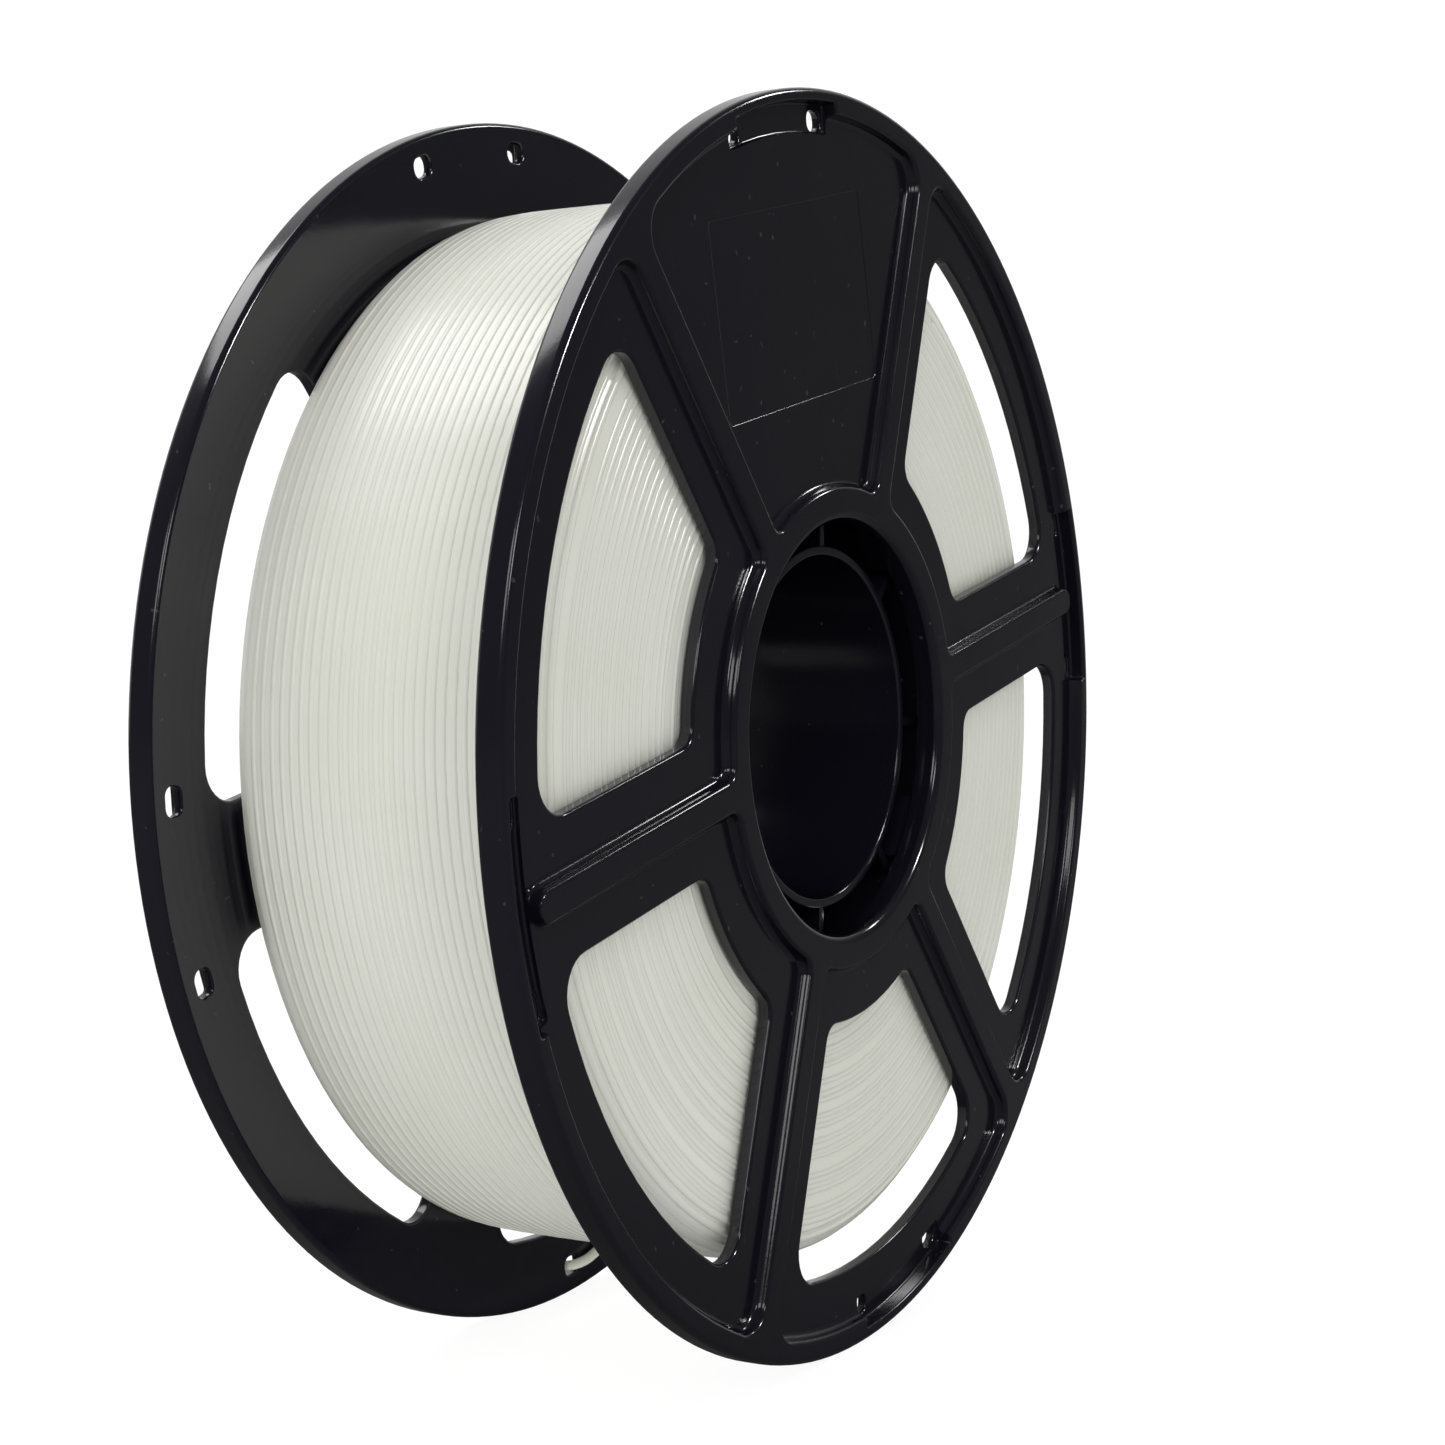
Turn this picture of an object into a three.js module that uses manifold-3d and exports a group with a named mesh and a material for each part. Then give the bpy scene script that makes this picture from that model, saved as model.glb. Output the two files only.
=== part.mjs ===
// A 1 kg filament spool: two identical snap-fit flanges, the hub core between them, the wound
// filament and its free end, which is tucked through a slot in the rear flange.
// Millimetres, +Z up, the spool's axis along Y, the origin at its centre. It stands on its two rims.
import * as THREE from "three";
import { mergeVertices } from "three/addons/utils/BufferGeometryUtils.js";
import Module from "manifold-3d";

const wasm = await Module();
wasm.setup();

const degrees = THREE.MathUtils.degToRad;

// Overall.
const SPOOL_WIDTH = 63;
const HALF_WIDTH = SPOOL_WIDTH / 2;
const TURN = degrees(13.3); // how far the spool has rolled from spoke level
const RIM_SEGMENTS = 96;
const HUB_SEGMENTS = 72;
const GAP = 0.3; // left between pieces that rest on each other

// Flange.
const FLANGE_RADIUS = 100;
const FLANGE_THICKNESS = 4.4;
const INNER_FACE = HALF_WIDTH - FLANGE_THICKNESS; // height of a flange's inner face
const RIM_CHAMFER = 0.8;
const OPENING_RADIUS = 33;
const OPENING_CHAMFER = 1;
const HUB_RING_RADIUS = 38.5; // outside of the raised ring round the opening
const LIP_RADIUS = 96.2; // inside of the raised rim lip
const POCKET_DEPTH = 2;

// Spokes, ribs and windows.
const SPOKES = 6;
const SECTOR = (2 * Math.PI) / SPOKES;
const RIB_WIDTH = 5;
const SPOKE_WIDTH = 20;
const POCKET_CORNER = { inner: 2.5, outer: 5 };
const WINDOW = { inner: 47.5, outer: 88, cornerInner: 3.5, cornerOuter: 5.5 };
const PANEL_SECTOR = 1; // the sector that has no window, centred on +Y of the flange
const LABEL = { width: 49.5, height: 30, centre: 67.6, depth: 0.3 };

// Ears: deeper stretches beside the lip, with a filament slot at each end.
const EARS = 4;
const EAR = { inner: 93.2, outer: 98, halfAngle: degrees(9.7), corner: 0.7, depth: 2.8 };
const SLOT = { length: 4.4, width: 3.2, corner: 1.2, radius: 95.3, angle: degrees(8.15) };

// Snap fingers of a flange and the windows in the barrel that they catch in.
const FINGERS = 4;
const FINGER = { inner: 33.4, outer: 34.8, hook: 36.9, width: 11.5, length: 12, hookHeight: 2.6 };
const CATCH_CLEARANCE = 0.7;

// Hub core.
const BORE_RADIUS = 27.5;
const TUBE_WALL = 1.6;
const TUBE_HALF_LENGTH = 26.5;
const BARREL_RADIUS = 38;
const BARREL_WALL = 2.2;
const BARREL_HALF_LENGTH = INNER_FACE - GAP;
const HUB_RIBS = 8;
const HUB_RIB = { thickness: 1.6, halfLength: 26 };

// Filament.
const FILAMENT_DIAMETER = 1.75;
const WINDING_HALF_WIDTH = INNER_FACE - GAP;
// The winding's crowned outside, as radii and how far in from its sides they are.
const CROWN = [
  [80, 0],
  [82.2, 0.9],
  [84.1, 2.6],
  [85.2, 6],
];

const flangeMaterial = new THREE.MeshStandardMaterial({ color: "#17171b", roughness: 0.28, metalness: 0 });
const filamentMaterial = new THREE.MeshStandardMaterial({ color: "#e4e4dc", roughness: 0.35, metalness: 0 });

// A closed geometry as a solid that can be joined and cut.
function solid(geometry) {
  const bare = geometry.clone();
  bare.deleteAttribute("normal");
  bare.deleteAttribute("uv");
  const merged = mergeVertices(bare, 1e-4);
  return new wasm.Manifold(
    new wasm.Mesh({
      numProp: 3,
      vertProperties: new Float32Array(merged.attributes.position.array),
      triVerts: new Uint32Array(merged.index.array),
    }),
  );
}

// A solid back as a geometry.
function geometryOf(body) {
  const mesh = body.getMesh();
  const geometry = new THREE.BufferGeometry();
  geometry.setAttribute("position", new THREE.BufferAttribute(mesh.vertProperties, 3));
  geometry.setIndex(new THREE.BufferAttribute(mesh.triVerts, 1));
  geometry.computeVertexNormals();
  return geometry;
}

// Points on an arc, both ends included.
function arc(x, y, radius, from, to, steps) {
  const points = [];
  for (let i = 0; i <= steps; i += 1) {
    const angle = from + ((to - from) * i) / steps;
    points.push(new THREE.Vector2(x + radius * Math.cos(angle), y + radius * Math.sin(angle)));
  }
  return points;
}

// A sector between two circles, centred on +X, whose straight sides run parallel to the two
// spokes at a distance "side" from them, with all four corners rounded.
function sectorOutline({ inner, outer, halfAngle, side, cornerInner, cornerOuter, cornerSteps = 4 }) {
  const corner = (distance, radius) => {
    const angle = halfAngle - Math.asin((side + radius) / distance);
    return { angle, x: distance * Math.cos(angle), y: distance * Math.sin(angle), radius };
  };
  const far = corner(outer - cornerOuter, cornerOuter);
  const near = corner(inner + cornerInner, cornerInner);
  const normal = halfAngle + Math.PI / 2;
  const steps = (angle) => Math.max(2, Math.round((2 * angle) / degrees(3.75)));
  return [
    ...arc(0, 0, outer, -far.angle, far.angle, steps(far.angle)),
    ...arc(far.x, far.y, far.radius, far.angle, normal, cornerSteps).slice(1),
    ...arc(near.x, near.y, near.radius, normal, near.angle + Math.PI, cornerSteps),
    ...arc(0, 0, inner, near.angle, -near.angle, steps(near.angle)).slice(1),
    ...arc(near.x, -near.y, near.radius, -near.angle - Math.PI, -normal, cornerSteps).slice(1),
    ...arc(far.x, -far.y, far.radius, -normal, -far.angle, cornerSteps).slice(0, -1),
  ];
}

// A rectangle with rounded corners, centred on the origin.
function roundedRectangle(width, height, corner) {
  const x = width / 2 - corner;
  const y = height / 2 - corner;
  const quarter = Math.PI / 2;
  return [
    ...arc(x, y, corner, 0, quarter, 3),
    ...arc(-x, y, corner, quarter, 2 * quarter, 3),
    ...arc(-x, -y, corner, 2 * quarter, 3 * quarter, 3),
    ...arc(x, -y, corner, 3 * quarter, 4 * quarter, 3),
  ];
}

// An outline in the flange's plane, extruded from one height to another and turned round the axis.
function prism(outline, bottom, top, angle = 0, shift = new THREE.Vector2()) {
  const settings = { depth: top - bottom, bevelEnabled: false, steps: 1 };
  const geometry = new THREE.ExtrudeGeometry(new THREE.Shape(outline), settings);
  geometry.translate(shift.x, shift.y, bottom);
  geometry.rotateZ(angle);
  return solid(geometry);
}

// A closed profile of (radius, height) points turned round the axis, with a flat facet at the
// lowest point of the standing spool.
function turned(profile, segments) {
  const points = profile.map(([radius, height]) => new THREE.Vector2(radius, height));
  const geometry = new THREE.LatheGeometry([...points, points[0].clone()], segments);
  geometry.rotateX(Math.PI / 2);
  geometry.rotateZ(Math.PI / segments - TURN);
  return solid(geometry);
}

// The plain disc that the pockets and windows are cut from, its outer face up.
function flangeDisc() {
  return turned(
    [
      [OPENING_RADIUS, INNER_FACE],
      [FLANGE_RADIUS - RIM_CHAMFER, INNER_FACE],
      [FLANGE_RADIUS, INNER_FACE + RIM_CHAMFER],
      [FLANGE_RADIUS, HALF_WIDTH - RIM_CHAMFER],
      [FLANGE_RADIUS - RIM_CHAMFER, HALF_WIDTH],
      [OPENING_RADIUS + OPENING_CHAMFER, HALF_WIDTH],
      [OPENING_RADIUS, HALF_WIDTH - OPENING_CHAMFER],
    ],
    RIM_SEGMENTS,
  );
}

const OVER = 1; // how far a cutter stands out of what it cuts

// The shallow pocket between two ribs, from the hub ring to the rim lip.
function pocket(angle) {
  const outline = sectorOutline({
    inner: HUB_RING_RADIUS,
    outer: LIP_RADIUS,
    halfAngle: SECTOR / 2,
    side: RIB_WIDTH / 2,
    cornerInner: POCKET_CORNER.inner,
    cornerOuter: POCKET_CORNER.outer,
  });
  return prism(outline, HALF_WIDTH - POCKET_DEPTH, HALF_WIDTH + OVER, angle);
}

// The window through the flange, between two spokes.
function windowCut(angle) {
  const outline = sectorOutline({
    inner: WINDOW.inner,
    outer: WINDOW.outer,
    halfAngle: SECTOR / 2,
    side: SPOKE_WIDTH / 2,
    cornerInner: WINDOW.cornerInner,
    cornerOuter: WINDOW.cornerOuter,
  });
  return prism(outline, INNER_FACE - OVER, HALF_WIDTH + OVER, angle);
}

// The deeper stretch beside the lip, where a filament end can lie below the rim.
function ear(angle) {
  const outline = sectorOutline({
    inner: EAR.inner,
    outer: EAR.outer,
    halfAngle: EAR.halfAngle,
    side: 0,
    cornerInner: EAR.corner,
    cornerOuter: EAR.corner,
    cornerSteps: 2,
  });
  return prism(outline, HALF_WIDTH - EAR.depth, HALF_WIDTH + OVER, angle);
}

// A slot that a filament end goes through.
function slot(angle) {
  const outline = roundedRectangle(SLOT.width, SLOT.length, SLOT.corner);
  const shift = new THREE.Vector2(SLOT.radius, 0);
  return prism(outline, INNER_FACE - OVER, HALF_WIDTH + OVER, angle, shift);
}

// The sunk rectangle in the panel that a label goes in.
function labelRecess() {
  const outline = roundedRectangle(LABEL.width, LABEL.height, 0.5);
  const floor = HALF_WIDTH - POCKET_DEPTH - LABEL.depth;
  return prism(outline, floor, HALF_WIDTH + OVER, 0, new THREE.Vector2(0, LABEL.centre));
}

// A springy finger with a hook, which reaches into the barrel from the flange's inner face.
function finger(angle) {
  const tip = INNER_FACE - FINGER.length;
  const root = INNER_FACE + POCKET_DEPTH / 2;
  const profile = [
    [FINGER.inner, root],
    [FINGER.inner, tip],
    [FINGER.outer, tip],
    [FINGER.hook, tip + FINGER.hookHeight - 0.8],
    [FINGER.hook, tip + FINGER.hookHeight],
    [FINGER.outer, tip + FINGER.hookHeight],
    [FINGER.outer, root],
  ];
  const shape = new THREE.Shape(profile.map(([radius, height]) => new THREE.Vector2(radius, height)));
  const geometry = new THREE.ExtrudeGeometry(shape, { depth: FINGER.width, bevelEnabled: false, steps: 1 });
  geometry.translate(0, 0, -FINGER.width / 2);
  geometry.rotateX(Math.PI / 2);
  geometry.rotateZ(angle);
  return solid(geometry);
}

// The angle of finger and catch number i: halfway between the ears.
function fingerAngle(i) {
  return ((i + 0.5) * 2 * Math.PI) / FINGERS;
}

// One flange, with its outer face up and its panel towards +Y.
function flange() {
  let body = flangeDisc();
  for (let i = 0; i < SPOKES; i += 1) {
    const middle = (i + 0.5) * SECTOR;
    body = body.subtract(pocket(middle));
    if (i !== PANEL_SECTOR) {
      body = body.subtract(windowCut(middle));
    }
  }
  body = body.subtract(labelRecess());
  for (let i = 0; i < EARS; i += 1) {
    const middle = (i * 2 * Math.PI) / EARS;
    body = body.subtract(ear(middle));
    body = body.subtract(slot(middle - SLOT.angle));
    body = body.subtract(slot(middle + SLOT.angle));
  }
  for (let i = 0; i < FINGERS; i += 1) {
    body = body.add(finger(fingerAngle(i)));
  }
  return body;
}

// A ring of square section between two radii.
function ring(inner, outer, halfLength, segments) {
  return turned(
    [
      [inner, -halfLength],
      [outer, -halfLength],
      [outer, halfLength],
      [inner, halfLength],
    ],
    segments,
  );
}

// One of the plates that join the bore tube to the barrel.
function hubRib(angle) {
  const overlap = TUBE_WALL / 2;
  const inner = BORE_RADIUS + TUBE_WALL - overlap;
  const outer = BARREL_RADIUS - BARREL_WALL + overlap;
  const plate = new THREE.BoxGeometry(outer - inner, HUB_RIB.thickness, 2 * HUB_RIB.halfLength);
  plate.translate((inner + outer) / 2, 0, 0);
  plate.rotateZ(angle);
  return solid(plate);
}

// The window in the barrel's wall that a flange's hook snaps into. "side" is 1 or -1.
function catchCut(angle, side) {
  const low = INNER_FACE - FINGER.length - CATCH_CLEARANCE;
  const height = FINGER.hookHeight + 2 * CATCH_CLEARANCE;
  const depth = 3 * BARREL_WALL;
  const cut = new THREE.BoxGeometry(depth, FINGER.width + 2 * CATCH_CLEARANCE, height);
  cut.translate(BARREL_RADIUS - BARREL_WALL / 2, 0, side * (low + height / 2));
  cut.rotateZ(angle);
  return solid(cut);
}

// The winding barrel, the bore tube inside it and the radial ribs between them, in one piece.
function hubCore() {
  const tube = ring(BORE_RADIUS, BORE_RADIUS + TUBE_WALL, TUBE_HALF_LENGTH, HUB_SEGMENTS);
  let body = ring(BARREL_RADIUS - BARREL_WALL, BARREL_RADIUS, BARREL_HALF_LENGTH, HUB_SEGMENTS);
  for (let i = 0; i < HUB_RIBS; i += 1) {
    body = body.add(hubRib((i * 2 * Math.PI) / HUB_RIBS - TURN));
  }
  body = body.add(tube);
  for (let i = 0; i < FINGERS; i += 1) {
    body = body.subtract(catchCut(fingerAngle(i), 1));
    body = body.subtract(catchCut(fingerAngle(i), -1));
  }
  return body;
}

// The wound filament, as the ring that all its turns fill. Its last layers stop short of the
// flanges, so its outside is rounded off towards them.
function winding() {
  const inner = BARREL_RADIUS + GAP;
  const rearHalf = CROWN.map(([radius, inset]) => [radius, inset - WINDING_HALF_WIDTH]);
  const frontHalf = rearHalf.map(([radius, height]) => [radius, -height]).reverse();
  return turned(
    [[inner, -WINDING_HALF_WIDTH], ...rearHalf, ...frontHalf, [inner, WINDING_HALF_WIDTH]],
    RIM_SEGMENTS,
  );
}

// The free end's route, in the standing spool's own frame: off the outer layer, out along the rear
// flange's inner face, and through a slot into the ear behind it.
const END_ROUTE = [
  [73.3, 25.8, -42.4],
  [67.7, 25.8, -51.0],
  [60.9, 25.8, -59.2],
  [53.3, 25.8, -66.7],
  [45.0, 25.85, -73.7],
  [36.4, 25.9, -80.0],
  [28.2, 25.9, -85.9],
  [21.2, 25.9, -90.4],
  [16.6, 25.9, -92.8],
  [13.2, 25.9, -93.9],
  [11.3, 25.95, -94.35],
  [9.9, 26.3, -94.65],
  [8.8, 26.95, -94.9],
  [8.1, 27.8, -95.05],
  [7.8, 28.75, -95.1],
  [7.75, 29.6, -95.1],
  [7.75, 30.5, -95.1],
];

// The free end of the filament, a round rod bent along its route.
function filamentEnd() {
  const route = END_ROUTE.map((point) => new THREE.Vector3(...point));
  const path = new THREE.CatmullRomCurve3(route, false, "centripetal");
  const section = new THREE.Shape(arc(0, 0, FILAMENT_DIAMETER / 2, 0, 2 * Math.PI, 8).slice(0, -1));
  return new THREE.ExtrudeGeometry(section, { extrudePath: path, steps: 36, bevelEnabled: false });
}

// A named mesh with a material of its own.
function piece(name, geometry, material) {
  const mesh = new THREE.Mesh(geometry, material.clone());
  mesh.name = name;
  return mesh;
}

// The turning parts are made with the axis along Z, and this group lays it along -Y.
const wheel = new THREE.Group();
wheel.rotation.set(Math.PI / 2, 0, TURN);
const flangeGeometry = geometryOf(flange());
const front = piece("front_flange", flangeGeometry, flangeMaterial);
const rear = piece("rear_flange", flangeGeometry, flangeMaterial);
rear.rotation.y = Math.PI; // the same moulding turned over about its panel's middle line
wheel.add(front, rear);
wheel.add(piece("hub_core", geometryOf(hubCore()), flangeMaterial));
wheel.add(piece("filament_winding", geometryOf(winding()), filamentMaterial));

const spool = new THREE.Group();
spool.add(wheel);
spool.add(piece("filament_end", filamentEnd(), filamentMaterial));

export default spool;
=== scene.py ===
import math
import random

import bmesh
import bpy
from mathutils import Matrix, Vector, noise


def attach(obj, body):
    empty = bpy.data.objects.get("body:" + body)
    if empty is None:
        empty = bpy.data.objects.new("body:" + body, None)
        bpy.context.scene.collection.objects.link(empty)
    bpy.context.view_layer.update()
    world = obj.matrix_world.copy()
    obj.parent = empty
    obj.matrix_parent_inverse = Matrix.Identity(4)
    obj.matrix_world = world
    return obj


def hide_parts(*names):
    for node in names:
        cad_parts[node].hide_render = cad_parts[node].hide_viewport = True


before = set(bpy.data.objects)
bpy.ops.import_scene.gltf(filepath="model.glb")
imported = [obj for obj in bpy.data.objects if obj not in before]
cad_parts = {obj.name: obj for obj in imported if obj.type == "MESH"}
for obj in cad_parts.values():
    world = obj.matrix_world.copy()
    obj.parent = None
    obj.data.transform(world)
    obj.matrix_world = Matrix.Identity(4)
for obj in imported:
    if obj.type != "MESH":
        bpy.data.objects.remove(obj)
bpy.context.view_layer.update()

MM = 0.001
TURN = math.radians(13.3)  # how far the spool has rolled from spoke level
LAID_DOWN = Matrix(((1, 0, 0, 0), (0, 0, -1, 0), (0, 1, 0, 0), (0, 0, 0, 1)))
IN_FRAME = Matrix.Scale(MM, 4) @ LAID_DOWN @ Matrix.Rotation(TURN, 4, "Z")
TURNED_OVER = Matrix.Rotation(math.pi, 4, "Y")

# Flange.
TOP = 31.5  # height of the outer face
THICKNESS = 4.4
INNER_FACE = TOP - THICKNESS
FLANGE_RADIUS = 100
OPENING_RADIUS = 33
POCKET_FLOOR = TOP - 2
EAR_FLOOR = TOP - 2.8
LABEL_FLOOR = POCKET_FLOOR - 0.1
SPOKES = 6
SECTOR = 2 * math.pi / SPOKES
PANEL = 1  # the sector that has no window
EARS = 4
SLOT_ANGLE = math.radians(8.15)  # from the middle of an ear
RIB_END = 93.1  # radius
# Outlines between two spokes and two circles. side is half the width of what is left between two.
POCKET = dict(side=2.5, inner=38.5, outer=96.2, corner_inner=2.5, corner_outer=5)
WINDOW = dict(half=SECTOR / 2, side=10, inner=47.5, outer=88, corner_inner=3.5, corner_outer=5.5)
EAR = dict(half=math.radians(9.7), side=0, inner=93.2, outer=98, corner_inner=0.7, corner_outer=0.7)
# Rectangles.
SLOT = dict(shift=(95.3, 0), width=3.2, height=4.4, corner=1.4)
LABEL = dict(shift=(0, 67.6), width=49.5, height=30, corner=0.8)

# Fingers, which hold the flanges in the barrel.
FINGERS = 4
FINGER_WIDTH = 11.5
FINGER_LENGTH = 12
CATCH_HEIGHT = 2.6  # of the hook's upper edge above the finger's tip

# Hub core.
BORE_RADIUS = 27.5
TUBE_WALL = 1.6
TUBE_END = 26.5
BARREL_RADIUS = 38
BARREL_WALL = 2.2
BARREL_END = 26.8
PLATES = 8
PLATE = (1.6, 52)  # thickness and length
CATCH = (12.9, 4, 16.4)  # the window's width and length, and how far from the middle it is

# Filament.
STRAND = 1.75 / 2  # radius
WINDING_HALF_WIDTH = 26.8


# ---- shaping ------------------------------------------------------------------------------------

def at(angle, radius):
    """A point in the XY plane at that angle and distance from the axis."""
    return Vector((radius * math.cos(angle), radius * math.sin(angle)))


def arc(centre, sweep, step):
    """A run along an arc about a centre, in steps of about that many degrees."""
    return ("arc", centre, sweep, max(1, round(abs(math.degrees(sweep)) / step)))


def traced(bm, start, runs):
    """A closed outline walked from its start by straight runs (a point) and arcs, as vertices."""
    first = bm.verts.new((*start, 0))
    walked = [first]
    for run in runs:
        if isinstance(run, Vector):
            new = bmesh.ops.extrude_vert_indiv(bm, verts=[walked[-1]])["verts"][0]
            new.co = (*run, 0)
            walked.append(new)
        else:
            _, centre, sweep, steps = run
            for _ in range(steps):
                new = bmesh.ops.extrude_vert_indiv(bm, verts=[walked[-1]])["verts"][0]
                turn = Matrix.Rotation(sweep / steps, 3, "Z")
                bmesh.ops.rotate(bm, verts=[new], cent=(*centre, 0), matrix=turn)
                walked.append(new)
    bmesh.ops.pointmerge(bm, verts=[first, walked[-1]], merge_co=first.co.copy())
    return [v for v in walked if v.is_valid]


def sector_outline(bm, growth, half, side, inner, outer, corner_inner, corner_outer, rib_end=None):
    """The outline between two spokes and two circles, centred on +X, its corners rounded. With rib_end
    it spans two such sectors and goes round the free end of the rib between them."""
    side, inner, outer = side - growth, inner - growth, outer + growth
    near_r, far_r = corner_inner + growth, corner_outer + growth
    quarter = math.pi / 2
    far = half - math.asin((side + far_r) / (outer - far_r))
    near = half - math.asin((side + near_r) / (inner + near_r))
    by_rib = math.asin((side + near_r) / (inner + near_r))
    far_centre, near_centre = at(far, outer - far_r), at(near, inner + near_r)
    rib_centre = at(by_rib, inner + near_r)
    mirror = Vector((1, -1))
    hub = Vector((0, 0))
    out = at(half + quarter, 1)
    middle = [arc(hub, -2 * near, 3)]
    if rib_end:
        end = rib_end - side
        middle = [
            arc(hub, by_rib - near, 3),
            arc(rib_centre, quarter - by_rib, 12),
            Vector((end, side)),
            arc(Vector((end, 0)), -math.pi, 15),
            Vector((rib_centre.x, -side)),
            arc(rib_centre * mirror, quarter - by_rib, 12),
            arc(hub, by_rib - near, 3),
        ]
    return traced(bm, at(-far, outer), [
        arc(hub, 2 * far, 3),
        arc(far_centre, half + quarter - far, 12),
        near_centre + out * near_r,
        arc(near_centre, near + quarter - half, 12),
        *middle,
        arc(near_centre * mirror, near + quarter - half, 12),
        (far_centre + out * far_r) * mirror,
        arc(far_centre * mirror, half + quarter - far, 12),
    ])


def rectangle_outline(bm, growth, width, height, corner):
    """A rectangle round the origin with rounded corners."""
    corner += growth
    x, y = width / 2 + growth - corner, height / 2 + growth - corner
    runs = []
    for sx, sy, nx, ny in ((1, 1, 0, 1), (-1, 1, -1, 0), (-1, -1, 0, -1), (1, -1, 1, 0)):
        centre = Vector((sx * x, sy * y))
        before = Vector((abs(ny) * sx, abs(nx) * sy))
        runs += [centre + before * corner, arc(centre, math.pi / 2, 15)]
    start = Vector((x + corner, -y))
    return traced(bm, start, runs)


def lofted(outline, profile, angle=0.0, shift=(0, 0), **sizes):
    """A closed cutter whose outline grows and shrinks as the (growth, height) pairs say."""
    bm = bmesh.new()
    loops = []
    for growth, height in profile:
        ring = outline(bm, growth, **sizes)
        bmesh.ops.translate(bm, verts=ring, vec=(*shift, height))
        loops.append(list({e for v in ring for e in v.link_edges}))
    ends = [list(loops[0]), list(loops[-1])]
    for upper, lower in zip(loops, loops[1:]):
        bmesh.ops.bridge_loops(bm, edges=upper + lower)
    for end in ends:
        bmesh.ops.contextual_create(bm, geom=end)
    bmesh.ops.rotate(bm, verts=bm.verts, matrix=Matrix.Rotation(angle, 3, "Z"))
    bmesh.ops.recalc_face_normals(bm, faces=bm.faces)
    return bm


def together(parts):
    """Several closed shells as one bmesh."""
    whole = bmesh.new()
    for bm in parts:
        mesh = bpy.data.meshes.new("part")
        bm.to_mesh(mesh)
        bm.free()
        whole.from_mesh(mesh)
        bpy.data.meshes.remove(mesh)
    return whole


def combined(body, tool, operation):
    """body with tool joined to it ("UNION") or cut from it ("DIFFERENCE")."""
    objects = []
    for bm in (body, tool):
        mesh = bpy.data.meshes.new("work")
        bm.to_mesh(mesh)
        bm.free()
        obj = bpy.data.objects.new("work", mesh)
        bpy.context.scene.collection.objects.link(obj)
        objects.append(obj)
    cut = objects[0].modifiers.new("cut", "BOOLEAN")
    cut.operation, cut.solver, cut.object = operation, "EXACT", objects[1]
    graph = bpy.context.evaluated_depsgraph_get()
    result = bmesh.new()
    result.from_object(objects[0], graph)
    for obj in objects:
        mesh = obj.data
        bpy.data.objects.remove(obj)
        bpy.data.meshes.remove(mesh)
    return result


def rounded_edge(radius, height, down=True):
    """(growth, height) pairs of a rounded edge where a cutter goes through a face at that height."""
    sign = -1 if down else 1
    pairs = []
    for degrees in (12, 34, 60, 90):
        t = math.radians(degrees)
        pairs.append((radius * (1 - math.sin(t)), height + sign * radius * (1 - math.cos(t))))
    past_face = (radius + 0.5, height - sign * 0.08)
    pairs = [past_face] + pairs
    return pairs if down else pairs[::-1]


def rounded_floor(radius, floor):
    """(growth, height) pairs of the fillet between a wall and a floor."""
    draft = 0.03  # how far the wall has leaned in where the fillet begins
    pairs = []
    for degrees in (0, 30, 60, 90):
        t = math.radians(degrees)
        pairs.append((-draft - radius * (1 - math.cos(t)), floor + radius * (1 - math.sin(t))))
    return pairs


def turned(points, steps):
    """A closed profile of (radius, height, edge radius) points, turned round the axis."""
    bm = bmesh.new()
    corners = [bm.verts.new((radius, 0, height)) for radius, height, _ in points]
    face = bmesh.ops.contextual_create(bm, geom=corners)["faces"]
    for corner, (_, _, edge) in zip(corners, points):
        if edge:
            bmesh.ops.bevel(bm, geom=[corner], offset=edge, segments=4, profile=0.5,
                            affect="VERTICES", material=-1)
    bmesh.ops.delete(bm, geom=list(bm.faces), context="FACES_ONLY")
    bmesh.ops.spin(bm, geom=bm.verts[:] + bm.edges[:], cent=(0, 0, 0), axis=(0, 0, 1),
                   angle=2 * math.pi, steps=steps, use_merge=True)
    bmesh.ops.remove_doubles(bm, verts=bm.verts, dist=1e-4)
    bmesh.ops.recalc_face_normals(bm, faces=bm.faces)
    return bm


def block(size, centre, angle, edge):
    """A box with softened edges, turned about the axis."""
    bm = bmesh.new()
    bmesh.ops.create_cube(bm, size=1)
    bmesh.ops.scale(bm, verts=bm.verts, vec=size)
    if edge:
        bmesh.ops.bevel(bm, geom=bm.edges[:], offset=edge, segments=2, profile=0.5,
                        affect="EDGES", material=-1)
    bmesh.ops.translate(bm, verts=bm.verts, vec=centre)
    bmesh.ops.rotate(bm, verts=bm.verts, matrix=Matrix.Rotation(angle, 3, "Z"))
    return bm


# ---- the mouldings ------------------------------------------------------------------------------

def finger(angle):
    """A springy finger with a hook, which reaches into the barrel."""
    inner, outer, hook = 33.4, 34.8, 36.9  # radii
    nose = 0.8  # height of the hook's flat end
    tip, root = INNER_FACE - FINGER_LENGTH, INNER_FACE + 1
    catch = tip + CATCH_HEIGHT
    bm = bmesh.new()
    profile = ((inner, root), (inner, tip), (outer, tip), (hook, catch - nose), (hook, catch),
               (outer, catch), (outer, root))
    corners = [bm.verts.new((x, -FINGER_WIDTH / 2, z)) for x, z in profile]
    face = bmesh.ops.contextual_create(bm, geom=corners)["faces"]
    made = bmesh.ops.extrude_face_region(bm, geom=face)["geom"]
    moved = [v for v in made if isinstance(v, bmesh.types.BMVert)]
    bmesh.ops.translate(bm, verts=moved, vec=(0, FINGER_WIDTH, 0))
    bmesh.ops.rotate(bm, verts=bm.verts, matrix=Matrix.Rotation(angle, 3, "Z"))
    bmesh.ops.recalc_face_normals(bm, faces=bm.faces)
    return bm


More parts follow.
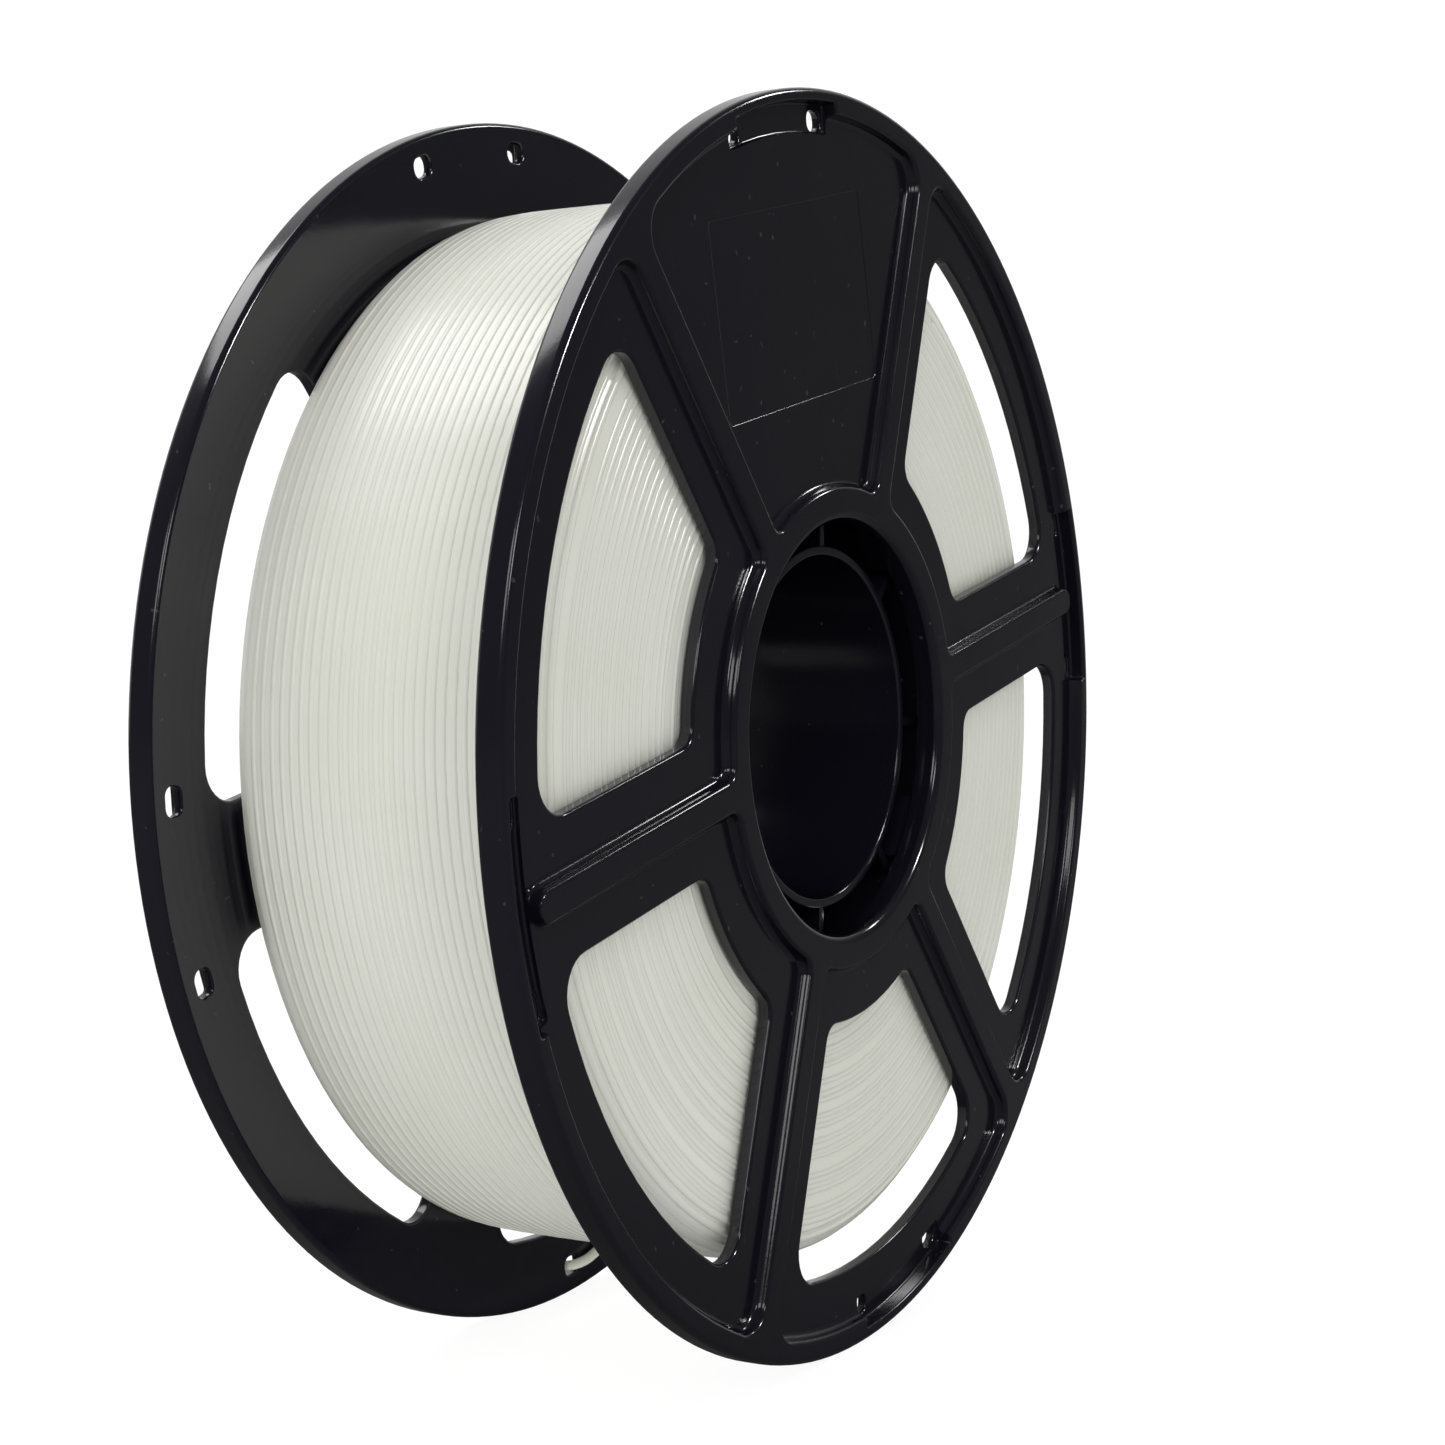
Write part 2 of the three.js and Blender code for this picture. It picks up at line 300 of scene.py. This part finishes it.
def flange():
    """One flange with its outer face up and its panel towards +Y."""
    disc = turned(((OPENING_RADIUS, INNER_FACE, 0.4), (FLANGE_RADIUS, INNER_FACE, 0.9),
                   (FLANGE_RADIUS, TOP, 1.0), (OPENING_RADIUS, TOP, 1.5)), 192)
    wall = rounded_edge(0.75, TOP) + rounded_floor(1.1, POCKET_FLOOR)
    pockets = [lofted(sector_outline, wall, k * math.pi, half=SECTOR, rib_end=RIB_END, **POCKET)
               for k in range(2)]
    pockets += [lofted(sector_outline, wall, (k + 0.5) * math.pi, half=SECTOR / 2, **POCKET)
                for k in range(2)]
    body = combined(disc, together(pockets), "DIFFERENCE")

    through = rounded_edge(0.6, POCKET_FLOOR) + rounded_edge(0.5, INNER_FACE, down=False)
    windows = [lofted(sector_outline, through, (k + 0.5) * SECTOR, **WINDOW)
               for k in range(SPOKES) if k != PANEL]
    body = combined(body, together(windows), "DIFFERENCE")

    quarter = 2 * math.pi / EARS
    dip = rounded_edge(0.5, TOP) + rounded_floor(0.5, EAR_FLOOR)
    ears = [lofted(sector_outline, dip, k * quarter, **EAR) for k in range(EARS)]
    body = combined(body, together(ears), "DIFFERENCE")

    hole = rounded_edge(0.3, EAR_FLOOR) + rounded_edge(0.4, INNER_FACE, down=False)
    slots = [lofted(rectangle_outline, hole, k * quarter + way * SLOT_ANGLE, **SLOT)
             for k in range(EARS) for way in (-1, 1)]
    body = combined(body, together(slots), "DIFFERENCE")

    sunk = [(0.3, POCKET_FLOOR + 0.04), (0.1, POCKET_FLOOR - 0.01), (0.02, LABEL_FLOOR + 0.05),
            (-0.045, LABEL_FLOOR + 0.01), (-0.1, LABEL_FLOOR)]
    body = combined(body, lofted(rectangle_outline, sunk, **LABEL), "DIFFERENCE")
    fingers = [finger((k + 0.5) * 2 * math.pi / FINGERS) for k in range(FINGERS)]
    return combined(body, together(fingers), "UNION")


def hub_core():
    """The winding barrel, the bore tube inside it and the plates between them."""
    tube = turned(((BORE_RADIUS, -TUBE_END, 0.4), (BORE_RADIUS + TUBE_WALL, -TUBE_END, 0.4),
                   (BORE_RADIUS + TUBE_WALL, TUBE_END, 0.4), (BORE_RADIUS, TUBE_END, 0.4)), 128)
    inside = BARREL_RADIUS - BARREL_WALL
    barrel = turned(((inside, -BARREL_END, 0.3), (BARREL_RADIUS, -BARREL_END, 0.3),
                     (BARREL_RADIUS, BARREL_END, 0.3), (inside, BARREL_END, 0.3)), 128)
    inner = BORE_RADIUS + TUBE_WALL / 2
    outer = BARREL_RADIUS - BARREL_WALL / 2
    thickness, length = PLATE
    plates = [block((outer - inner, thickness, length), ((inner + outer) / 2, 0, 0),
                    k * 2 * math.pi / PLATES - TURN, 0.3) for k in range(PLATES)]
    width, height, offset = CATCH
    catches = [block((3 * BARREL_WALL, width, height), (outer, 0, side * offset),
                     (k + 0.5) * 2 * math.pi / FINGERS, 0) for k in range(FINGERS) for side in (-1, 1)]
    body = combined(tube, together([barrel, *plates]), "UNION")
    return combined(body, together(catches), "DIFFERENCE")


# ---- the filament -------------------------------------------------------------------------------

def tubes(routes, radius, sides):
    """Round strands along routes of points, as one mesh."""
    curve = bpy.data.curves.new("strand", "CURVE")
    curve.dimensions = "3D"
    curve.bevel_depth = radius
    curve.bevel_resolution = (sides - 4) // 2
    curve.use_fill_caps = True
    for route in routes:
        spline = curve.splines.new("POLY")
        spline.points.add(len(route) - 1)
        for point, place in zip(spline.points, route):
            point.co = (*place, 1)
    obj = bpy.data.objects.new("strand", curve)
    bpy.context.scene.collection.objects.link(obj)
    graph = bpy.context.evaluated_depsgraph_get()
    mesh = bpy.data.meshes.new_from_object(obj.evaluated_get(graph))
    bpy.data.objects.remove(obj)
    bpy.data.curves.remove(curve)
    return mesh


def smoothstep(t):
    t = min(1, max(0, t))
    return t * t * (3 - 2 * t)


# The line that the outer turns' centres lie on, as (height, radius) pairs from the rear flange's
# side to the middle: the last layers stop short of the flanges, so the outside is crowned.
CROWN = ((-25.92, 79.2), (-25.75, 80.6), (-25.0, 82.2), (-23.9, 83.3), (-22.2, 83.95), (-18, 84.25),
         (-8, 84.4), (0, 84.42))
LAYER_PITCH = 1.8  # between the turns that lie against a flange
FLANGE_TURN = WINDING_HALF_WIDTH - STRAND  # height of the turns that lie against a flange
LAST_TURN_LEAVES = math.radians(60)  # frame angle where the last turn starts to climb
FREE_END_STARTS = math.radians(-30.02)
FREE_END_RADIUS = 84.7
FREE_END_HEIGHT = 25.8


def crown_line(spacing):
    """Places of the outer turns, evenly spaced along the crown from the front flange to the rear."""
    rear = [Vector(p) for p in CROWN]
    line = [Vector((-p.x, p.y)) for p in rear] + rear[-2::-1]
    gaps = [(b - a).length for a, b in zip(line, line[1:])]
    total = sum(gaps)
    count = round(total / spacing)
    places = []
    for i in range(count + 1):
        left = total * i / count
        k = 0
        while k < len(gaps) - 1 and left > gaps[k]:
            left -= gaps[k]
            k += 1
        places.append(line[k].lerp(line[k + 1], left / gaps[k]))
    return places


def outer_layer():
    """The outer layer's turns, from the front flange to the rear one, and the last stretch that
    climbs onto them and runs up to where the free end begins."""
    steps, climb_steps = 120, 30
    sway, lift = 0.05, 0.035  # how far a turn strays along the axis, and in and out
    places = crown_line(2 * STRAND)
    turns = len(places) - 1
    first = LAST_TURN_LEAVES - TURN
    route = []
    for i in range(turns * steps + 1):
        angle = first - 2 * math.pi * (i - turns * steps) / steps
        n = min(turns - 1, i // steps)
        seat = places[n].lerp(places[n + 1], i / steps - n)
        along = noise.noise(Vector((math.cos(angle) * 1.5, math.sin(angle) * 1.5, i / steps * 1.7)))
        out = noise.noise(Vector((math.cos(angle) * 2, math.sin(angle) * 2, i / steps * 2.3 + 40)))
        height = max(-FLANGE_TURN, min(FLANGE_TURN, seat.x + sway * along))
        route.append((*at(angle, seat.y + lift * out), height))
    sweep = LAST_TURN_LEAVES - FREE_END_STARTS
    for i in range(1, climb_steps + 1):
        t = i / climb_steps
        radius = CROWN[0][1] + (FREE_END_RADIUS - CROWN[0][1]) * smoothstep(t)
        height = -FLANGE_TURN + (FLANGE_TURN - FREE_END_HEIGHT) * smoothstep(t)
        route.append((*at(first - sweep * t, radius), height))
    return route


def side_spiral(side, seed):
    """The turns that lie against a flange, each of which climbs to the next somewhere on its way."""
    steps = 84
    barrel_gap = 0.3
    lift, gap = 0.14, 0.1  # how far a turn strays in and out, and from the flange
    rng = random.Random(seed)
    start = BARREL_RADIUS + barrel_gap + STRAND
    turns = round((CROWN[0][1] - start) / LAYER_PITCH)
    pitch = (CROWN[0][1] - start) / turns
    # the angle where each climb starts, and the angle that it takes
    climbs = [(2 * math.pi * (n + 0.4) + rng.uniform(-0.9, 0.9), rng.uniform(1.5, 3.5))
              for n in range(turns)]
    route = []
    for i in range(turns * steps + 1):
        angle = 2 * math.pi * i / steps
        radius = start + pitch * sum(smoothstep((angle - a) / span) for a, span in climbs)
        seat = Vector((math.cos(angle) * 1.8, math.sin(angle) * 1.8, seed * 7 + i / steps * 1.3))
        radius += lift * noise.noise(seat)
        depth = gap * abs(noise.noise(seat + Vector((0, 0, 30))))
        route.append((*at(side * angle, radius), side * (FLANGE_TURN - depth)))
    return route


def winding():
    """About 330 m of filament: the outer layer's turns, the turns against both flanges, and the
    closed body of all the turns under them."""
    # how far the body's skin lies outside the strands' centres: round it, on its sides and, along
    # the axis, at its shoulders
    cover, side_cover, shoulder_cover = 0.7, 0.66, 0.2
    barrel_gap = 0.35
    side_end = 1  # how far below the shoulders the sides stop
    line = [(max(-FLANGE_TURN, h), r + cover) for h, r in CROWN]
    side = FLANGE_TURN + side_cover
    half = [(BARREL_RADIUS + barrel_gap, -side, 0), (line[0][1] - side_end, -side, 0)]
    half += [(r, h - shoulder_cover, 0) for h, r in line[1:-1]]
    profile = half + [(r, -h, 0) for r, h, _ in half[::-1]]
    body = turned(profile, 160)
    edges = [side_spiral(side, 3 + side) for side in (1, -1)]
    for routes in ([outer_layer()], edges):
        mesh = tubes(routes, STRAND, 8)
        body.from_mesh(mesh)
        bpy.data.meshes.remove(mesh)
    return body


# The free end's route in the standing spool's frame, in millimetres: off the outer layer, out
# along the rear flange's inner face, and through a slot into the ear behind it.
END_ROUTE = [
    (73.3, 25.8, -42.4), (67.7, 25.8, -51.0), (60.9, 25.8, -59.2), (53.3, 25.8, -66.7),
    (45.0, 25.85, -73.7), (36.4, 25.9, -80.0), (28.2, 25.9, -85.9), (21.2, 25.9, -90.4),
    (16.6, 25.9, -92.8), (13.2, 25.9, -93.9), (11.3, 25.95, -94.35), (9.9, 26.3, -94.65),
    (8.8, 26.95, -94.9), (8.1, 27.8, -95.05), (7.8, 28.75, -95.1), (7.75, 29.6, -95.1),
    (7.75, 30.5, -95.1),
]


def smooth_route(points, steps):
    """Points on one smooth curve through a route."""
    route = [Vector(p) for p in points]
    route = [2 * route[0] - route[1], *route, 2 * route[-1] - route[-2]]
    smooth = []
    for p0, p1, p2, p3 in zip(route, route[1:], route[2:], route[3:]):
        gaps = [max(1e-6, (b - a).length ** 0.5) for a, b in ((p0, p1), (p1, p2), (p2, p3))]
        t1 = gaps[0]
        t2 = t1 + gaps[1]
        t3 = t2 + gaps[2]
        for i in range(steps):
            t = t1 + (t2 - t1) * i / steps
            a1 = p0.lerp(p1, t / t1)
            a2 = p1.lerp(p2, (t - t1) / (t2 - t1))
            a3 = p2.lerp(p3, (t - t2) / (t3 - t2))
            b1 = a1.lerp(a2, t / t2)
            b2 = a2.lerp(a3, (t - t1) / (t3 - t1))
            smooth.append(b1.lerp(b2, (t - t1) / (t2 - t1)))
    smooth.append(route[-2])
    return smooth


# ---- materials ----------------------------------------------------------------------------------

def colour(code):
    """An sRGB hex colour as the linear colour that shaders take."""
    parts = [int(code[i:i + 2], 16) / 255 for i in (1, 3, 5)]
    return (*[c / 12.92 if c <= 0.04045 else ((c + 0.055) / 1.055) ** 2.4 for c in parts], 1)


def node(tree, kind, links=None, **settings):
    """Adds a node. links maps an input to what it takes: another node's output, or a value."""
    new = tree.nodes.new("ShaderNode" + kind)
    for name, value in settings.items():
        setattr(new, name, value)
    for name, value in (links or {}).items():
        if isinstance(value, bpy.types.NodeSocket):
            tree.links.new(value, new.inputs[name])
        else:
            new.inputs[name].default_value = value
    return new


def new_material(name):
    """An empty material with its output node, and that node's surface input."""
    material = bpy.data.materials.new(name)
    material.use_nodes = True
    material.node_tree.nodes.clear()
    output = node(material.node_tree, "OutputMaterial")
    return material, material.node_tree, output.inputs["Surface"]


def gloss_abs():
    """Black ABS from a polished mould: near black, glossy, with the faint ripple and haze of a
    moulded skin, and specks of dust on it."""
    material, tree, surface = new_material("moulded_gloss_black_abs")
    place = node(tree, "TexCoord").outputs["Object"]
    # flow ripple of the skin, 12 mm across, and its fine grain, 0.6 mm
    ripple = node(tree, "TexNoise", {"Vector": place, "Scale": 80.0, "Detail": 1.0})
    grain = node(tree, "TexNoise", {"Vector": place, "Scale": 1600.0, "Detail": 2.0})
    haze = node(tree, "TexNoise", {"Vector": place, "Scale": 35.0, "Detail": 4.0, "Roughness": 0.6})
    roughness = node(tree, "MapRange", {"Value": haze.outputs["Fac"], "From Min": 0.3, "From Max": 0.7,
                                        "To Min": 0.1, "To Max": 0.17})
    swell = node(tree, "Bump", {"Height": ripple.outputs["Fac"], "Strength": 0.12, "Distance": 0.0004})
    skin = node(tree, "Bump", {"Height": grain.outputs["Fac"], "Strength": 0.05, "Distance": 0.0001,
                               "Normal": swell.outputs["Normal"]})
    # specks of dust about 0.5 mm across, a centimetre or two apart
    dust = node(tree, "TexNoise", {"Vector": place, "Scale": 800.0, "Detail": 0.0})
    speck = node(tree, "MapRange", {"Value": dust.outputs["Fac"], "From Min": 0.83, "From Max": 0.88})
    tint = node(tree, "Mix", {"Factor": speck.outputs["Result"], "A": colour("#15141e"),
                              "B": colour("#34343a")}, data_type="RGBA")
    shader = node(tree, "BsdfPrincipled", {
        "Base Color": tint.outputs["Result"], "Roughness": roughness.outputs["Result"], "IOR": 1.53,
        "Normal": skin.outputs["Normal"]})
    tree.links.new(shader.outputs["BSDF"], surface)
    return material


def natural_filament():
    """Extruded natural filament: milky, so a little light spreads under its skin, with a satin
    gloss and a tint that drifts from place to place."""
    material, tree, surface = new_material("extruded_natural_filament")
    place = node(tree, "TexCoord").outputs["Object"]
    cloud = node(tree, "TexNoise", {"Vector": place, "Scale": 30.0, "Detail": 2.0})
    tint = node(tree, "Mix", {"Factor": cloud.outputs["Fac"], "A": colour("#e6e7e0"),
                              "B": colour("#dadbcc")}, data_type="RGBA")
    # faint unevenness of the extruded skin, about 1 mm across
    uneven = node(tree, "TexNoise", {"Vector": place, "Scale": 900.0, "Detail": 1.0})
    skin = node(tree, "Bump", {"Height": uneven.outputs["Fac"], "Strength": 0.08, "Distance": 0.0001})
    shader = node(tree, "BsdfPrincipled", {
        "Base Color": tint.outputs["Result"], "Roughness": 0.24, "IOR": 1.5,
        "Subsurface Weight": 0.15, "Subsurface Radius": (1.0, 0.95, 0.8), "Subsurface Scale": 0.0005,
        "Normal": skin.outputs["Normal"]})
    tree.links.new(shader.outputs["BSDF"], surface)
    return material


FLOOR_SEEN = 0.93  # how brightly the floor glows to the camera
FLOOR_FILL = 0.95  # and as light that fills the spool from below


def matt_floor():
    """A matt studio floor that glows evenly, so it runs into the white behind it. What the gloss of
    the spool mirrors is its own mid grey."""
    material, tree, surface = new_material("matt_white_floor")
    place = node(tree, "TexCoord").outputs["Object"]
    mottle = node(tree, "TexNoise", {"Vector": place, "Scale": 3.0, "Detail": 2.0})
    tint = node(tree, "Mix", {"Factor": mottle.outputs["Fac"], "A": colour("#646464"),
                              "B": colour("#606060")}, data_type="RGBA")
    ray = node(tree, "LightPath")
    seen = node(tree, "Math", {0: ray.outputs["Is Camera Ray"], 1: FLOOR_SEEN}, operation="MULTIPLY")
    even = node(tree, "Math", {0: ray.outputs["Is Diffuse Ray"], 1: FLOOR_FILL,
                               2: seen.outputs["Value"]}, operation="MULTIPLY_ADD")
    shader = node(tree, "BsdfPrincipled", {
        "Base Color": tint.outputs["Result"], "Roughness": 0.9, "Specular IOR Level": 0.0,
        "Emission Color": colour("#ffffff"), "Emission Strength": even.outputs["Value"]})
    tree.links.new(shader.outputs["BSDF"], surface)
    return material


# ---- pieces -------------------------------------------------------------------------------------

def placed(name, bm, transform, material, cad_node, crease=35):
    """A finished piece: its mesh in the frame, smooth but for edges sharper than the crease."""
    mesh = bpy.data.meshes.new(name)
    bm.to_mesh(mesh)
    mesh.transform(transform)
    mesh.shade_smooth()
    mesh.set_sharp_from_angle(angle=math.radians(crease))
    mesh.materials.clear()
    mesh.materials.append(material)
    obj = bpy.data.objects.new(name, mesh)
    bpy.context.scene.collection.objects.link(obj)
    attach(obj, "root")
    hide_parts(cad_node)
    return obj


def weigh_normals(obj):
    """Keeps the flats flat-shaded where rounded edges run into them."""
    weighted = obj.modifiers.new("flats", "WEIGHTED_NORMAL")
    weighted.keep_sharp = True


black = gloss_abs()
natural = natural_filament()

moulding = flange()
bmesh.ops.remove_doubles(moulding, verts=moulding.verts, dist=1e-4)
for name, over in (("front_flange", Matrix.Identity(4)), ("rear_flange", TURNED_OVER)):
    weigh_normals(placed(name + "_moulding", moulding, IN_FRAME @ over, black, name))
moulding.free()

core = hub_core()
weigh_normals(placed("hub_core_moulding", core, IN_FRAME, black, "hub_core"))
core.free()

wound = winding()
placed("wound_filament", wound, IN_FRAME, natural, "filament_winding", 60)
wound.free()

end_path = [p * MM for p in smooth_route(END_ROUTE, 6)]
end_mesh = tubes([end_path], STRAND * MM, 12)
end_bm = bmesh.new()
end_bm.from_mesh(end_mesh)
bpy.data.meshes.remove(end_mesh)
free_end = placed("filament_free_end", end_bm, Matrix.Identity(4), natural,
                  "filament_end", 60)
end_bm.free()


# ---- camera, floor and light --------------------------------------------------------------------

def aimed(obj, place, target):
    """Puts a camera or light at a place, looking at a target."""
    obj.location = place
    obj.rotation_euler = (Vector(target) - Vector(place)).to_track_quat("-Z", "Y").to_euler()
    bpy.context.scene.collection.objects.link(obj)
    return obj


azimuth, elevation, distance = math.radians(-59.738), math.radians(1.969), 0.449189
back = Vector((math.sin(azimuth) * math.cos(elevation), -math.cos(azimuth) * math.cos(elevation),
               math.sin(elevation)))
camera = bpy.data.cameras.new("camera")
camera.sensor_width, camera.lens = 36, 67.72362
camera.shift_x, camera.shift_y = 0.02785, 0.00125
camera.clip_start, camera.clip_end = 0.01, 50
bpy.context.scene.camera = aimed(bpy.data.objects.new("camera", camera), back * distance, (0, 0, 0))


def softbox(name, place, target, width, height, power, glints_only=False):
    """A rectangular studio light. One for glints only is mirrored but doesn't light matt surfaces."""
    light = bpy.data.lights.new(name, "AREA")
    light.shape, light.size, light.size_y = "RECTANGLE", width, height
    light.energy = power
    lamp = aimed(bpy.data.objects.new(name, light), place, target)
    lamp.visible_diffuse = not glints_only
    return lamp


softbox("back_top_softbox", (-0.16, 0.69, 1.09), (0, 0, 0), 0.55, 0.45, 3.4)
softbox("front_top_softbox", (0.32, -1.0, 0.56), (0, 0, 0), 0.13, 0.13, 5, glints_only=True)
softbox("right_top_softbox", (0.92, -0.47, 0.78), (0, 0, 0), 0.16, 0.16, 1.8, glints_only=True)
softbox("left_softbox", (-1.35, -0.4, 0.6), (0, 0, 0), 0.5, 0.4, 2.4)
softbox("front_softbox", (-0.75, -0.95, 0.5), (0, 0, 0), 0.25, 0.25, 1.4)

bm = bmesh.new()
bmesh.ops.create_grid(bm, x_segments=1, y_segments=1, size=4)
bmesh.ops.translate(bm, verts=bm.verts, vec=(0, 0, -FLANGE_RADIUS * MM))
floor_mesh = bpy.data.meshes.new("floor")
bm.to_mesh(floor_mesh)
bm.free()
floor_mesh.materials.append(matt_floor())
floor = bpy.data.objects.new("floor", floor_mesh)
bpy.context.scene.collection.objects.link(floor)

# A studio that is white behind the spool and dim on the side that the front flange reflects.
BACKDROP = 1.05  # strength of the white that the camera sees
world = bpy.data.worlds.new("studio")
world.use_nodes = True
sky = world.node_tree
sky.nodes.clear()
ray = node(sky, "LightPath")
direction = node(sky, "TexCoord").outputs["Generated"]
behind = node(sky, "VectorMath", {0: direction, 1: (0.6, 0.8, 0.0)}, operation="DOT_PRODUCT")
room = node(sky, "MapRange", {"Value": behind.outputs["Value"], "From Min": 0.2, "From Max": 0.75,
                              "To Min": 0.09, "To Max": 0.8}, interpolation_type="SMOOTHSTEP")
depth = node(sky, "SeparateXYZ", {"Vector": direction}).outputs["Y"]
soft = node(sky, "MapRange", {"Value": depth, "From Min": -1.0, "From Max": 0.2,
                              "To Min": 0.56, "To Max": 1.05})
fill = node(sky, "Mix", {"Factor": ray.outputs["Is Diffuse Ray"], "A": room.outputs["Result"],
                         "B": soft.outputs["Result"]})
strength = node(sky, "Mix", {"Factor": ray.outputs["Is Camera Ray"], "A": fill.outputs["Result"],
                             "B": BACKDROP})
glow = node(sky, "Background", {"Color": colour("#ffffff"), "Strength": strength.outputs["Result"]})
node(sky, "OutputWorld", {"Surface": glow.outputs["Background"]})
bpy.context.scene.world = world
bpy.context.scene.view_settings.view_transform = "Standard"
